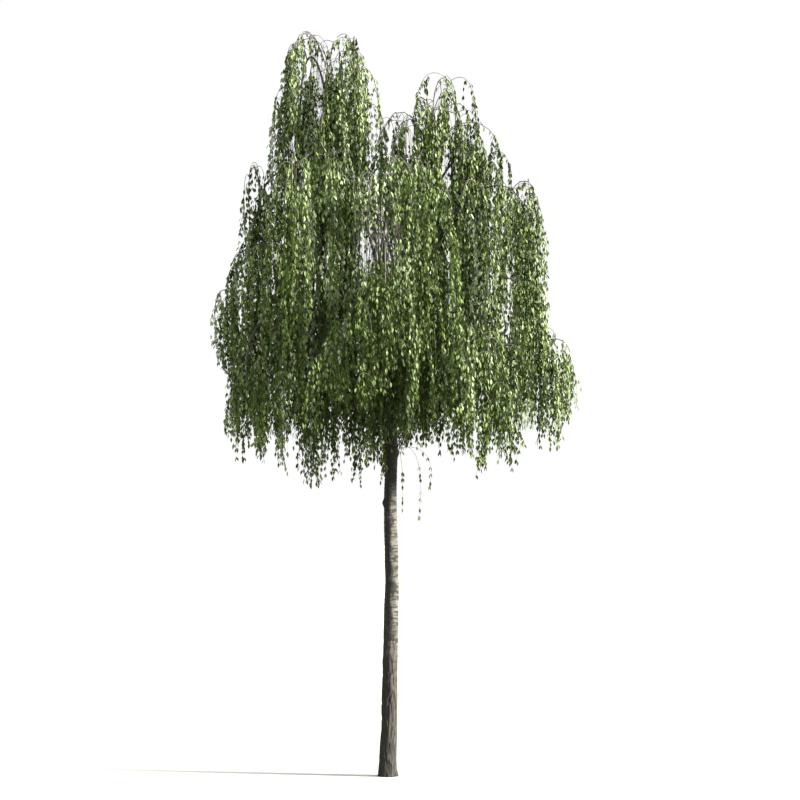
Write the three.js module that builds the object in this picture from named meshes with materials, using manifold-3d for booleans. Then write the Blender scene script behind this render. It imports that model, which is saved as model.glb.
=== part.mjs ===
// A weeping birch about ten metres tall, rooted in the ground: a bare trunk, the leaders it forks into,
// the boughs they carry, and hanging masses of twigs and leaf sprays.
// Millimetres, +Z up. The origin is the middle of the flat cut under the trunk, at ground level.
// Seen from -Y, as in a front view, +X is to the right. Headings are degrees from +X towards +Y.

import * as THREE from "three";
import { mergeVertices } from "three/addons/utils/BufferGeometryUtils.js";
import Module from "manifold-3d";

const wasm = await Module();
wasm.setup();

const { degToRad, lerp, smoothstep } = THREE.MathUtils;

// Driving dimensions
const TREE_HEIGHT = 10000;
const CROWN_RADIUS = 2430;
const TRUNK_DIAMETER = 206; // at breast height
const BREAST_HEIGHT = 1300;
const CLEARANCE = 0.3; // between a limb and what carries it

const high = (share) => share * TREE_HEIGHT;
const wide = (share) => share * CROWN_RADIUS;

// Trunk
const FORK_HEIGHT = high(0.515); // its flat top, hidden in the crown
const FORK_DIAMETER = 0.7 * TRUNK_DIAMETER;
const FLARE_DIAMETER = 1.37 * TRUNK_DIAMETER; // over the root flare, at the ground
const FLARE_HEIGHT = 190; // the flare fades to about a third in this height
const FLARE_LOBES = 5;
const LOBE_SHARE = 0.12; // how far the lobes swell the flare
const TRUNK_LEAN = 42; // sideways drift, gained in the first LEAN_HEIGHT
const LEAN_HEIGHT = 1900;
const TRUNK_SWAY = 10; // slow waves about its line
const SWAY_LENGTH = 2050;
const TRUNK_SIDES = 16;
const TRUNK_RINGS = 12;
const RING_CROWDING = 1.7; // above 1 draws the rings together at the root flare

// Leaders: tip in plan as shares of the crown's radius, tip and foot as shares of the tree's height, and the
// radius at the foot
const LEADERS = [
  { name: "left", x: -0.335, y: 0.05, tip: 0.945, from: 0.496, radius: 56 },
  { name: "right", x: 0.25, y: -0.06, tip: 0.893, from: 0.496, radius: 52 },
  { name: "back", x: 0.1, y: 0.37, tip: 0.84, from: 0.48, radius: 44 },
  { name: "front", x: -0.05, y: -0.36, tip: 0.735, from: 0.462, radius: 40 },
];
const LEADER_HANDLES = [
  { plan: 0.62, height: 0.2 }, // leaves the trunk aslant
  { plan: 0.95, height: 0.62 }, // and soon stands upright
];
const LEADER_TIP_RADIUS = 12;
const LEADER_SIDES = 8;
const LEADER_RINGS = 7;

// Tops: each leader's tip springs up and falls over in one hanging mass. Reach is a share of the crown's
// radius, rise and foot are shares of the tree's height, and foot is the height that its end hangs to.
const TOPS = [
  { leader: "left", heading: 176, reach: 0.215, rise: 0.05, foot: 0.805 },
  { leader: "right", heading: 8, reach: 0.12, rise: 0.0425, foot: 0.775 },
  { leader: "back", heading: 102, reach: 0.173, rise: 0.06, foot: 0.715 },
  { leader: "front", heading: 255, reach: 0.177, rise: 0.056, foot: 0.615 },
];
const TOP_SIZE = 0.9; // of twigs and sprays, next to those of the boughs

// Tiers of boughs, from the lowest up. Their ends stand evenly round the tree, or round the one leader that
// carries the tier. Middle is how far that round stands to the right, as a share of the crown's radius, apex
// is the arch's height and from the height at which it leaves its carrier.
const TIERS = [
  {
    name: "inner", on: "trunk", count: 3, start: 188, radius: 24,
    middle: 0, reach: 0.48, apex: 0.57, foot: 0.42, from: 0.446,
  },
  {
    name: "skirt", on: "trunk", count: 7, start: -4, radius: 30,
    middle: 0.035, reach: 0.83, apex: 0.6, foot: 0.42, from: 0.462,
  },
  {
    name: "middle", on: "nearest", count: 5, start: 203, radius: 22,
    middle: -0.04, reach: 0.78, apex: 0.69, foot: 0.5, from: 0.555,
  },
  {
    name: "shoulder", on: "nearest", count: 7, start: 178, radius: 24,
    middle: 0.03, reach: 0.75, apex: 0.795, foot: 0.58, from: 0.635,
  },
  {
    name: "left_tower", on: "left", count: 2, start: 165, radius: 18,
    middle: 0, reach: 0.16, apex: 0.975, foot: 0.75, from: 0.84,
  },
  {
    name: "right_tower", on: "right", count: 1, start: 12, radius: 18,
    middle: 0, reach: 0.27, apex: 0.84, foot: 0.68, from: 0.74,
  },
];
const CROWN_TILT = high(0.022); // on the tree's left the arches stand this much higher, and hang lower
const STAGGER = high(0.017); // neighbours in a tier leave their carrier this much apart in height
const STAGGER_STEPS = 3;
const APEX_STAGGER = high(0.0085); // and neighbouring arches stand this much apart
const REACH_CHANCE = 0.1; // how much chance alters a bough's reach, as a share
const FOOT_CHANCE = high(0.05); // and the height that its end hangs to
const HEADING_CHANCE = 12; // and its heading
const BOUGH_TIP_RADIUS = 11;
const BOUGH_SHARE = 0.4; // the least share of its arch that a bough runs before its mass begins
const ARCH_PACES = 200; // in which an arch is followed to where it enters its mass's space
const BOUGH_SIDES = 5;
const BOUGH_RINGS = 4;

// Arches: how far out the two handles of the curve stand, as shares of its run, and what the ends and the
// handles each weigh in the middle of such a curve
const NEAR_HANDLE = 0.33;
const FAR_HANDLE = 1.35;
const END_WEIGHT = 1 / 8;
const HANDLE_WEIGHT = 3 / 8;

// Sprig: a few thin shoots that break out of the bare trunk under the crown
const SPRIG = { heading: -6, from: 0.43, reach: 0.23, rise: 0.004, foot: 0.378, size: 0.42 };

// Twigs of a mass, hanging from its stem. Pairs are the least and the most that chance deals.
const TWIG_SIDES = 3; // of the stem too
const STEM_RADIUS = 10;
const STEM_TIP_RADIUS = 6;
const STEM_RINGS = 5;
const TWIG_RADIUS = 5;
const TWIG_TIP_RADIUS = 4;
const TWIG_RINGS = 3;
const TWIG_COUNT = 5;
const TWIG_ROOTS = [0.05, 0.65]; // the stretch of the stem that they leave from
const ROOT_CHANCE = 0.06;
const TWIG_TURN = [0.7, 1.9]; // to either side of the stem's heading, in radians
const TWIG_SPREAD = [290, 570]; // how far a twig stands off its stem before it hangs
const TWIG_LIFT = 0.63; // how high it springs first, as a share of its spread
const TWIG_SHORTENING = 0.35; // the most that chance takes off its fall
const TWIG_PACES = 24; // in which a twig is followed to where it would leave its space
const SHORTEST_TWIG = 0.3; // a twig that stays inside for less of its course is left out

// Leaf sprays: each keeled kite stands for a hanging spray of leaves
const SPRAY_LENGTH = 760;
const SPRAY_WIDTH = 390;
const SPRAY_THICKNESS = 16;
const SPRAY_WIDEST = 0.52; // where it is widest, as a share of its length
const SPRAY_SPACING = 315; // along a twig
const SPRAY_STRETCH = [0.18, 0.97]; // the share of a twig that bears sprays
const SPRAY_SIZE = [0.75, 1.15];
const SMALL_SPRAY = 0.66; // a spray that doesn't fit is tried at this share of its size
const SPRAY_TILT = 0.42; // how far it leans off the vertical, as a slope
const SPRAY_TURN = 1; // how far chance turns its flat side, in radians
const SPRAY_ROOT = 1.5; // how far past the middle of its twig it is sunk
const LAST_TILT = 0.2; // the last spray of a twig hangs straighter
const LAST_SIZE = 0.8;
const SPRAY_HANG = 600; // a twig ends this far over the height that its last spray hangs to
const STEEPEST_SIDE = 0.1; // a side of a twig that faces straighter up or down has no heading of its own

// Space that a mass keeps to: the points nearer to its middle than to any other mass's, with heights counted
// for less, so that the spaces stand tall
const SPACE_HEIGHT_SCALE = 0.6;
const SPACE_MARGIN = 6;
const ENTRY_ROOM = 60; // how deep in its space a bough hands over to the stem
const PIECE_MARGIN = 2; // room left between a spray and the limbs, twigs and sprays it passes
const TOP_MIDDLE = 0.35; // how far out along a top's run the middle of its space stands
const TOP_MIDDLE_RISE = 1 / 3; // and how much of its rise lifts that middle
const BOUGH_MIDDLE = 0.84; // and along a bough's
const SPRIG_MIDDLE = 0.7; // and along the sprig's

// Exactness of the solids and of what is found by search
const MERGE_DISTANCE = 1e-3;
const SIMPLIFY_TOLERANCE = 0.05;
const HALVINGS = 30;
const SLOPE_STEP = 0.01; // the share of a twig over which its slope is read

const UP = new THREE.Vector3(0, 0, 1);
const RIGHT = new THREE.Vector3(1, 0, 0);
const GOLDEN_TURN = Math.PI * (3 - Math.sqrt(5));

const bark = new THREE.MeshStandardMaterial({ color: "#8d877a", roughness: 0.9, metalness: 0 });
const youngBark = new THREE.MeshStandardMaterial({ color: "#6e675c", roughness: 0.85, metalness: 0 });
const leaf = new THREE.MeshStandardMaterial({ color: "#55702f", roughness: 0.55, metalness: 0 });

// Repeatable chance: numbers from 0 to 1 that depend only on the seed, each from the one before it by a
// product and its remainder
function chance(seed) {
  const first = 7919;
  const factor = 16807;
  const modulus = 2147483647;
  let state = first * (seed + 1);
  return () => {
    state = (state * factor) % modulus;
    return state / modulus;
  };
}

function headingVector(degrees) {
  return RIGHT.clone().applyAxisAngle(UP, degToRad(degrees));
}

// Solids
function solidOf(geometry) {
  geometry.deleteAttribute("normal");
  geometry.deleteAttribute("uv");
  const merged = mergeVertices(geometry, MERGE_DISTANCE);
  return new wasm.Manifold(
    new wasm.Mesh({
      numProp: 3,
      vertProperties: merged.getAttribute("position").array,
      triVerts: new Uint32Array(merged.index.array),
    }),
  );
}

// The largest body of a solid: scraps and sealed hollows are dropped
function mainBody(solid) {
  const bodies = solid.simplify(SIMPLIFY_TOLERANCE).decompose();
  return bodies.reduce((best, body) => (body.volume() > best.volume() ? body : best));
}

function geometryOf(solid) {
  const { vertProperties, triVerts } = solid.getMesh();
  return new THREE.BufferGeometry()
    .setAttribute("position", new THREE.BufferAttribute(vertProperties, 3))
    .setIndex(new THREE.BufferAttribute(triVerts, 1));
}

// A limb: a cylinder whose rings are moved onto a curve and sized by radiusAt(share along, angle round)
function limbGeometry(pointAt, tangentAt, across, radiusAt, sides, rings) {
  const geometry = new THREE.CylinderGeometry(1, 1, 1, sides, rings);
  const position = geometry.getAttribute("position");
  const vertex = new THREE.Vector3();
  for (let i = 0; i < position.count; i++) {
    vertex.fromBufferAttribute(position, i);
    const share = vertex.y + 0.5;
    const angle = Math.atan2(vertex.z, vertex.x);
    const radius = Math.hypot(vertex.x, vertex.z) * radiusAt(share, angle);
    const tangent = tangentAt(share);
    const side = across.clone().projectOnPlane(tangent).normalize();
    const over = side.clone().cross(tangent);
    vertex
      .copy(pointAt(share))
      .addScaledVector(side, radius * Math.cos(angle))
      .addScaledVector(over, radius * Math.sin(angle));
    position.setXYZ(i, vertex.x, vertex.y, vertex.z);
  }
  return geometry;
}

// The level direction across a curve that stands in one upright plane
function acrossOf(curve) {
  return curve.getPoint(1).sub(curve.getPoint(0)).cross(UP).normalize();
}

// A tapering limb along a stretch of a curve, from share `from` to share `to` of it
function taperedLimb(curve, from, to, startRadius, endRadius, sides, rings) {
  return solidOf(
    limbGeometry(
      (share) => curve.getPoint(lerp(from, to, share)),
      (share) => curve.getTangent(lerp(from, to, share)),
      acrossOf(curve),
      (share) => lerp(startRadius, endRadius, share),
      sides,
      rings,
    ),
  );
}

// Trunk
function trunkCentre(height) {
  const settled = smoothstep(height, 0, LEAN_HEIGHT);
  const wave = (2 * Math.PI * height) / SWAY_LENGTH;
  const x = settled * (TRUNK_LEAN + TRUNK_SWAY * Math.sin(wave));
  const y = settled * TRUNK_SWAY * (Math.cos(wave) - 1);
  return new THREE.Vector3(x, y, height);
}

function trunkRadius(height, angle) {
  const taper = (TRUNK_DIAMETER - FORK_DIAMETER) / (FORK_HEIGHT - BREAST_HEIGHT) / 2;
  const plain = TRUNK_DIAMETER / 2 - taper * (height - BREAST_HEIGHT);
  const foot = TRUNK_DIAMETER / 2 + taper * BREAST_HEIGHT;
  const flare = (FLARE_DIAMETER / 2 - foot) * Math.exp(-height / FLARE_HEIGHT);
  return plain + flare * (1 + LOBE_SHARE * Math.cos(FLARE_LOBES * angle));
}

function trunkSolid(growth) {
  const heightAt = (share) => (FORK_HEIGHT + growth) * Math.pow(share, RING_CROWDING);
  return solidOf(
    limbGeometry(
      (share) => trunkCentre(heightAt(share)),
      () => UP,
      RIGHT,
      (share, angle) => trunkRadius(heightAt(share), angle) + growth,
      TRUNK_SIDES,
      TRUNK_RINGS,
    ),
  );
}

// Leaders
function leaderCurve({ x, y, tip, from }) {
  const foot = trunkCentre(high(from));
  const top = new THREE.Vector3(wide(x), wide(y), high(tip));
  const handles = LEADER_HANDLES.map(({ plan, height }) =>
    foot.clone().lerp(top, plan).setZ(lerp(foot.z, top.z, height)),
  );
  return new THREE.CubicBezierCurve3(foot, ...handles, top);
}

function leaderSolid({ curve, radius }, growth) {
  return taperedLimb(curve, 0, 1, radius + growth, LEADER_TIP_RADIUS + growth, LEADER_SIDES, LEADER_RINGS);
}

// The place on a leader at a height, found by halving
function leaderPoint({ curve }, height) {
  let below = 0;
  let above = 1;
  for (let i = 0; i < HALVINGS; i++) {
    const middle = (below + above) / 2;
    if (curve.getPoint(middle).z < height) below = middle;
    else above = middle;
  }
  return curve.getPoint(below);
}

function nearestLeader(leaders, end) {
  const apart = ({ curve }) => Math.hypot(curve.v3.x - end.x, curve.v3.y - end.y);
  return leaders.reduce((best, each) => (apart(each) < apart(best) ? each : best));
}

// An arch from a root over an apex to an end that hangs. Both handles stand at one height, which puts the
// top of the arch close to the apex. An arch that carries on a limb sets out along its tangent.
function archCurve(root, end, apex, tangent) {
  const handleHeight = (apex - END_WEIGHT * (root.z + end.z)) / (2 * HANDLE_WEIGHT);
  const near = root.clone().lerp(end, NEAR_HANDLE).setZ(handleHeight);
  const far = root.clone().lerp(end, FAR_HANDLE).setZ(handleHeight);
  if (tangent) near.copy(root).addScaledVector(tangent, (handleHeight - root.z) / tangent.z);
  return new THREE.CubicBezierCurve3(root, near, far, end);
}

// Plans of the masses: the curve of each one's arch, the middle of its space and the leader, if any, that
// carries it; a radius is that of a bough's foot
function planTops(leaders) {
  return TOPS.map(({ leader: name, heading, reach, rise, foot }) => {
    const leader = leaders.find((each) => each.name === name);
    const root = leader.curve.getPoint(1);
    const end = root.clone().addScaledVector(headingVector(heading), wide(reach));
    end.setZ(high(foot) + SPRAY_HANG);
    const curve = archCurve(root, end, root.z + high(rise), leader.curve.getTangent(1));
    const middle = root.clone().lerp(end, TOP_MIDDLE);
    middle.setZ((root.z + high(foot)) / 2 + high(rise) * TOP_MIDDLE_RISE);
    return { name: `${name}_top`, curve, middle, leader, allRound: true, size: TOP_SIZE };
  });
}

function planTier({ name, on, count, start, middle, reach, apex, foot, from, radius }, leaders, seed) {
  const random = chance(seed);
  const own = leaders.find((leader) => leader.name === on);
  const axis = own ? own.curve.v3.clone() : trunkCentre(FORK_HEIGHT);
  axis.addScaledVector(RIGHT, wide(middle));
  const plans = [];
  for (let i = 0; i < count; i++) {
    const heading = start + (360 * i) / count + HEADING_CHANCE * (random() - 0.5);
    const run = wide(reach) * (1 + REACH_CHANCE * (random() - 0.5));
    const tilt = own ? 0 : CROWN_TILT * headingVector(heading).x;
    const end = axis.clone().addScaledVector(headingVector(heading), run);
    end.setZ(high(foot) + FOOT_CHANCE * (random() - 0.5) + SPRAY_HANG + tilt);
    const rootHeight = high(from) + STAGGER * (i % STAGGER_STEPS);
    const root =
      on === "trunk" ? trunkCentre(rootHeight) : leaderPoint(own ?? nearestLeader(leaders, end), rootHeight);
    const curve = archCurve(root, end, high(apex) + APEX_STAGGER * ((i % 2) - 0.5) - tilt);
    const heart = root.clone().lerp(end, BOUGH_MIDDLE).setZ(high((apex + foot) / 2));
    plans.push({ name: `${name}_${i + 1}`, curve, middle: heart, radius, size: 1 });
  }
  return plans;
}

function planSprig({ heading, from, reach, rise, foot, size }) {
  const root = trunkCentre(high(from));
  const end = root.clone().addScaledVector(headingVector(heading), wide(reach)).setZ(high(foot));
  const curve = archCurve(root, end, high(from + rise));
  const middle = root.clone().lerp(end, SPRIG_MIDDLE).setZ(high(foot));
  return { name: "trunk_sprig", curve, middle, size };
}

// How far inside its own space a point lies, along the worst of the planes to the other masses
function roomAt(point, plan, plans) {
  const scale = new THREE.Vector3(1, 1, SPACE_HEIGHT_SCALE);
  const own = plan.middle.clone().multiply(scale);
  const here = point.clone().multiply(scale);
  let room = Infinity;
  for (const other of plans) {
    if (other === plan) continue;
    const middle = other.middle.clone().multiply(scale);
    const apart = middle.clone().sub(own);
    const half = own.clone().lerp(middle, 0.5).sub(here);
    room = Math.min(room, half.dot(apart) / apart.length());
  }
  return room;
}

// A bough ends where its arch has entered the space of its mass
function stemStart(plan, plans) {
  for (let i = Math.round(BOUGH_SHARE * ARCH_PACES); i < ARCH_PACES; i++)
    if (roomAt(plan.curve.getPoint(i / ARCH_PACES), plan, plans) > ENTRY_ROOM) return i / ARCH_PACES;
  throw new Error(`${plan.name} never reaches its own space`);
}

function boughSolid({ curve, start, radius }, growth) {
  return taperedLimb(curve, 0, start, radius + growth, BOUGH_TIP_RADIUS + growth, BOUGH_SIDES, BOUGH_RINGS);
}

// Fit
function pieceOf(solid) {
  return { solid, box: solid.boundingBox() };
}

function boxesApart(a, b, room) {
  return [0, 1, 2].some((i) => a.min[i] > b.max[i] + room || b.min[i] > a.max[i] + room);
}

function clearOf(piece, others) {
  return others.every(
    (other) =>
      boxesApart(piece.box, other.box, PIECE_MARGIN) ||
      piece.solid.minGap(other.solid, PIECE_MARGIN) >= PIECE_MARGIN,
  );
}

function insideSpace(piece, plan, plans) {
  const { vertProperties } = piece.solid.getMesh();
  const vertex = new THREE.Vector3();
  for (let i = 0; i < vertProperties.length; i += 3)
    if (roomAt(vertex.fromArray(vertProperties, i), plan, plans) < SPACE_MARGIN) return false;
  return true;
}

// Twigs
function shareInside(curve, plan, plans) {
  for (let i = 1; i <= TWIG_PACES; i++)
    if (roomAt(curve.getPoint(i / TWIG_PACES), plan, plans) < TWIG_RADIUS + SPACE_MARGIN)
      return (i - 1) / TWIG_PACES;
  return 1;
}

// A point on the straight stretches between the rings of a stem or twig
function chordPoint({ curve, from, to, rings }, share) {
  const ring = (i) => curve.getPoint(lerp(from, to, i / rings));
  const step = Math.min(Math.floor(share * rings), rings - 1);
  return ring(step).lerp(ring(step + 1), share * rings - step);
}

function stemOf({ curve, start }) {
  const solid = taperedLimb(curve, start, 1, STEM_RADIUS, STEM_TIP_RADIUS, TWIG_SIDES, STEM_RINGS);
  return { ...pieceOf(solid), curve, from: start, to: 1, rings: STEM_RINGS };
}

// A twig springs off the stem to one side, or to all sides in turn at a leader's top, and hangs
function twigCurve(stem, plan, index, random) {
  const share = lerp(...TWIG_ROOTS, index / TWIG_COUNT) + ROOT_CHANCE * random();
  const sideTurn = (index % 2 ? -1 : 1) * lerp(...TWIG_TURN, random());
  const turn = plan.allRound ? GOLDEN_TURN * (index + 1) : sideTurn;
  const spread = plan.size * lerp(...TWIG_SPREAD, random());
  const root = chordPoint(stem, share);
  const end = lerp(plan.curve.v3.z, root.z, TWIG_SHORTENING * random());
  const out = acrossOf(plan.curve).applyAxisAngle(UP, turn + Math.PI / 2);
  const tip = root.clone().addScaledVector(out, spread);
  const bend = tip.clone().addScaledVector(UP, TWIG_LIFT * spread);
  return new THREE.QuadraticBezierCurve3(root, bend, tip.setZ(end));
}

function twigsOf(stem, plan, plans, limbs, random) {
  const twigs = [];
  for (let i = 0; i < TWIG_COUNT; i++) {
    const curve = twigCurve(stem, plan, i, random);
    const to = shareInside(curve, plan, plans);
    if (to < SHORTEST_TWIG) continue;
    const solid = taperedLimb(curve, 0, to, TWIG_RADIUS, TWIG_TIP_RADIUS, TWIG_SIDES, TWIG_RINGS);
    const twig = { ...pieceOf(solid), curve, from: 0, to, rings: TWIG_RINGS };
    if (clearOf(twig, limbs)) twigs.push(twig);
  }
  return twigs;
}

// Sprays: a kite of six faces, keeled like a folded leaf, hanging from a point along a direction
function spraySolid(point, along, across, size) {
  const geometry = new THREE.SphereGeometry(1, 3, 2);
  geometry.computeBoundingBox();
  const { min, max } = geometry.boundingBox;
  const position = geometry.getAttribute("position");
  for (let i = 0; i < position.count; i++) {
    const y = position.getY(i);
    const share = Math.abs(y) < 0.5 ? SPRAY_WIDEST : (y + 1) / 2;
    position.setXYZ(
      i,
      (position.getX(i) * SPRAY_THICKNESS * size) / (max.x - min.x),
      SPRAY_LENGTH * size * share - SPRAY_ROOT,
      (position.getZ(i) * SPRAY_WIDTH * size) / (max.z - min.z),
    );
  }
  const facing = along.clone().cross(across).normalize();
  const side = facing.clone().cross(along);
  const basis = new THREE.Matrix4().makeBasis(facing, along, side).setPosition(point);
  return solidOf(geometry.applyMatrix4(basis));
}

// The way that one of a twig's sides faces
function sideFacing(twig, share, side) {
  const ahead = chordPoint(twig, share + SLOPE_STEP).sub(chordPoint(twig, share - SLOPE_STEP)).normalize();
  const across = acrossOf(twig.curve).projectOnPlane(ahead).normalize();
  const over = across.clone().cross(ahead);
  const angle = Math.PI / 2 + ((2 * side - 1) * Math.PI) / TWIG_SIDES;
  return across.multiplyScalar(Math.cos(angle)).addScaledVector(over, Math.sin(angle));
}

// Sprays leave a twig's sides in turn and hang, and one that doesn't fit even when small is skipped
function spraysOn(twig, plan, random, fits) {
  const [first, last] = SPRAY_STRETCH;
  const length = twig.curve.getLength() * (twig.to - twig.from);
  const count = Math.max(1, Math.round((length * (1 - first)) / (SPRAY_SPACING * plan.size)));
  const firstSide = Math.floor(TWIG_SIDES * random());
  const sprays = [];
  for (let i = 0; i <= count; i++) {
    const share = lerp(first, last, i / count);
    const out = sideFacing(twig, share, firstSide + i);
    const along = out.clone().multiplyScalar(i < count ? SPRAY_TILT : LAST_TILT).sub(UP).normalize();
    const level = out.clone().cross(UP);
    const wide = level.length() > STEEPEST_SIDE ? level.normalize() : acrossOf(twig.curve);
    const across = wide.applyAxisAngle(along, SPRAY_TURN * (random() - 0.5));
    const chosen = lerp(...SPRAY_SIZE, random());
    const size = plan.size * (i < count ? chosen : LAST_SIZE);
    const fitting = [size, size * SMALL_SPRAY]
      .map((each) => pieceOf(spraySolid(chordPoint(twig, share), along, across, each)))
      .find((spray) => fits(spray, sprays));
    if (fitting) sprays.push(fitting);
  }
  return sprays;
}

// A mass: stem, twigs and sprays in one solid, moved clear of the limb that its stem carries on
function massSolid(plan, plans, limbs, seed) {
  const stem = stemOf(plan);
  if (!clearOf(stem, limbs.filter((limb) => limb !== plan.limb)))
    throw new Error(`the stem of ${plan.name} touches a limb`);
  const twigs = [stem, ...twigsOf(stem, plan, plans, limbs, chance(seed))];
  const random = chance(seed + plans.length);
  const sprays = [];
  for (const twig of twigs) {
    const others = [...limbs, ...twigs.filter((other) => other !== twig), ...sprays];
    const fits = (spray, near) => insideSpace(spray, plan, plans) && clearOf(spray, [...others, ...near]);
    sprays.push(...spraysOn(twig, plan, random, fits));
  }
  const joined = [...twigs, ...sprays].map(({ solid }) => solid).reduce((whole, solid) => whole.add(solid));
  return joined.translate(plan.curve.getTangent(plan.start).multiplyScalar(CLEARANCE).toArray());
}

// Assembly: every mesh stands in the tree at the place that it grows from
const tree = new THREE.Group();
tree.name = "weeping_birch";

function addNode(name, solid, material, place) {
  const geometry = geometryOf(solid).translate(-place.x, -place.y, -place.z);
  const mesh = new THREE.Mesh(geometry, material);
  mesh.name = name;
  mesh.position.copy(place);
  tree.add(mesh);
}

const limbs = [];

// Adds a limb, cut clear of the limbs that were added before it
function addLimb(name, makeSolid, material, place) {
  const whole = pieceOf(makeSolid(0));
  const near = limbs.filter((limb) => !boxesApart(whole.box, limb.box, CLEARANCE));
  const cut = near.reduce((rest, limb) => rest.subtract(limb.grown), whole.solid);
  const limb = { ...pieceOf(mainBody(cut)), grown: makeSolid(CLEARANCE) };
  addNode(name, limb.solid, material, place);
  limbs.push(limb);
  return limb;
}

const trunk = addLimb("trunk", trunkSolid, bark, trunkCentre(0));

const leaders = LEADERS.map((leader) => ({ ...leader, curve: leaderCurve(leader) }));
for (const leader of leaders) {
  const makeSolid = (growth) => leaderSolid(leader, growth);
  leader.limb = addLimb(`${leader.name}_leader`, makeSolid, bark, leader.curve.v0);
}

const plans = [
  ...planTops(leaders),
  ...TIERS.flatMap((tier, i) => planTier(tier, leaders, i)),
  planSprig(SPRIG),
];
for (const plan of plans) {
  plan.start = plan.radius ? stemStart(plan, plans) : 0;
  plan.limb = plan.radius
    ? addLimb(`${plan.name}_bough`, (growth) => boughSolid(plan, growth), youngBark, plan.curve.v0)
    : (plan.leader?.limb ?? trunk);
}

plans.forEach((plan, i) => {
  const mass = massSolid(plan, plans, limbs, i);
  const cut = plan.limb === trunk ? mass.subtract(trunk.grown) : mass;
  addNode(`${plan.name}_leaves`, mainBody(cut), leaf, plan.curve.getPoint(plan.start));
});

export default tree;
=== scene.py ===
import math
from types import SimpleNamespace

import bmesh
import bpy
import numpy as np
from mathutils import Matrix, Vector, noise


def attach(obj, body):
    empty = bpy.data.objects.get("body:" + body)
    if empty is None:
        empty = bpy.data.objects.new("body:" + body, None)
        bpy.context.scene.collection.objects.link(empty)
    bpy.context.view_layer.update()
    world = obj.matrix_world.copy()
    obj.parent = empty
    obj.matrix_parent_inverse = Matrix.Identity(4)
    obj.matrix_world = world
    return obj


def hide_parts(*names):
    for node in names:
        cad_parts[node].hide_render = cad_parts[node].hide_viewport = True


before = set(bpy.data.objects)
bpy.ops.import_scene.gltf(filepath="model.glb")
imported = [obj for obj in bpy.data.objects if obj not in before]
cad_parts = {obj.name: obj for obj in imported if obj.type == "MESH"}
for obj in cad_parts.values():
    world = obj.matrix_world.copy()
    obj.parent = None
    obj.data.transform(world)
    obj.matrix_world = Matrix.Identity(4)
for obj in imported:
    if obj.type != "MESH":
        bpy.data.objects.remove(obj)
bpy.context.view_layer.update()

# Trunk: the clean lower stem of a silver birch, leaning a little and waved. Its bark is corky and furrowed
# at the foot, and higher up pale, with the level scars of old pores and a few knots of shed shoots.
TREE_HEIGHT = 10.0
CROWN_RADIUS = 2.43
TRUNK_DIAMETER = 0.206
BREAST_HEIGHT = 1.3
FORK_HEIGHT = 0.515 * TREE_HEIGHT
FORK_DIAMETER = 0.7 * TRUNK_DIAMETER
FLARE_DIAMETER = 1.37 * TRUNK_DIAMETER
FLARE_HEIGHT = 0.19
FLARE_LOBES = 5
LOBE_SHARE = 0.12
TRUNK_LEAN = 0.042
LEAN_HEIGHT = 1.9
TRUNK_SWAY = 0.01
SWAY_LENGTH = 2.05
TRUNK_SIDES = 72
TRUNK_RING_SPACING = 0.0125
CLOSING_HEIGHT = 0.16  # the height over which its top closes between the leaders
TOP_CLOSING = 0.98  # how nearly it closes

CORKY_HEIGHTS = (1.2, 2.3)  # the furrows fade out between these heights
FURROW_DEPTH = 0.012
FURROW_WIDTH = 0.03
FURROW_LENGTH = 0.24
FURROW_EDGE = (0.0, 0.42)  # of the noise that the furrows follow
FINER_FURROWS = SimpleNamespace(strength=0.4, fineness=2.3)
PORE_HEIGHT = 0.024  # the pores' scars, drawn about twice as tall as life so that they show
PORE_WIDTH = 0.11
PORE_EDGE = (0.02, 0.26)  # of the noise that the scars follow
PORE_RELIEF = 0.003
PORE_OVERLAP = 0.6  # how far down among the furrows the scars start
SWELL_WIDTH = 0.1
SWELL_LENGTH = 0.4
SWELL_RELIEF = 0.009
# Painted shade on the trunk: its side away from the low lamp is darkened, with a wavering edge, and under the
# crown a painted shadow of the crown darkens it all round.
PAINTED_SHADE_EDGE = (-0.15, 0.25)  # across the trunk from left to right, as shares of its radius
PAINTED_SHADE_WIDTH = 0.1
PAINTED_SHADE_LENGTH = 0.2
PAINTED_SHADE_WAVE = 0.9
FINER_PAINTED_SHADE = SimpleNamespace(strength=0.5, fineness=3)
PAINTED_CROWN_SHADOW = (3.5, 3.95)  # all round the trunk over these heights, under the crown
KNOTS = [  # height, heading in degrees, size and how far it stands out
    (3.63, 188, 0.045, 0.024),
    (4.3, -4, 0.05, 0.022),
    (2.58, 285, 0.04, 0.012),
    (3.05, 60, 0.045, 0.014),
    (1.9, 140, 0.05, 0.014),
]


def high(share):
    return share * TREE_HEIGHT


def wide(share):
    return share * CROWN_RADIUS


def smoothstep(low, top, value):
    share = np.clip((value - low) / (top - low), 0, 1)
    return share * share * (3 - 2 * share)


def trunk_centre(height):
    settled = smoothstep(0, LEAN_HEIGHT, height)
    wave = 2 * math.pi * height / SWAY_LENGTH
    x = settled * (TRUNK_LEAN + TRUNK_SWAY * math.sin(wave))
    y = settled * TRUNK_SWAY * (math.cos(wave) - 1)
    return np.array((x, y, height))


def trunk_radius(height, angle):
    taper = (TRUNK_DIAMETER - FORK_DIAMETER) / (FORK_HEIGHT - BREAST_HEIGHT) / 2
    plain = TRUNK_DIAMETER / 2 - taper * (height - BREAST_HEIGHT)
    foot = TRUNK_DIAMETER / 2 + taper * BREAST_HEIGHT
    flare = (FLARE_DIAMETER / 2 - foot) * math.exp(-height / FLARE_HEIGHT)
    return plain + flare * (1 + LOBE_SHARE * math.cos(FLARE_LOBES * angle))


def round_trunk(angle, height, width, length):
    """A place in a pattern whose features are so wide round the trunk and so long up it"""
    girth = TRUNK_DIAMETER / 2 / width
    return Vector((math.cos(angle) * girth, math.sin(angle) * girth, height / length))


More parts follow.
